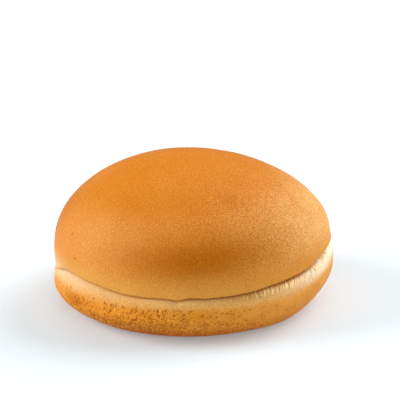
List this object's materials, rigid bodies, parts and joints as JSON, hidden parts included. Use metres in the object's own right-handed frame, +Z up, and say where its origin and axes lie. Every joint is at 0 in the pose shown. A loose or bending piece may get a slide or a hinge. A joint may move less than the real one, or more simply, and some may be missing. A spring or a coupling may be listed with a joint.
{
  "type": "brioche bun",
  "caption": "Round brioche burger bun, baked whole and unsliced, with a flat base, a bulging heel and a domed golden crown above a crease; rests on its base.",
  "frame": {"origin": "middle of the bun's box on the surface that its flat base rests on", "axes": "+Z up out of the crown; +X towards the side where the heel is thicker and the crease is higher; -Y is the front"},
  "size_m": [0.11, 0.11, 0.0577],
  "materials": {
    "crust": "satin golden-brown egg-washed bread crust"
  },
  "bodies": {
    "root": {"brioche_bun": "crust"}
  },
  "joints": []
}
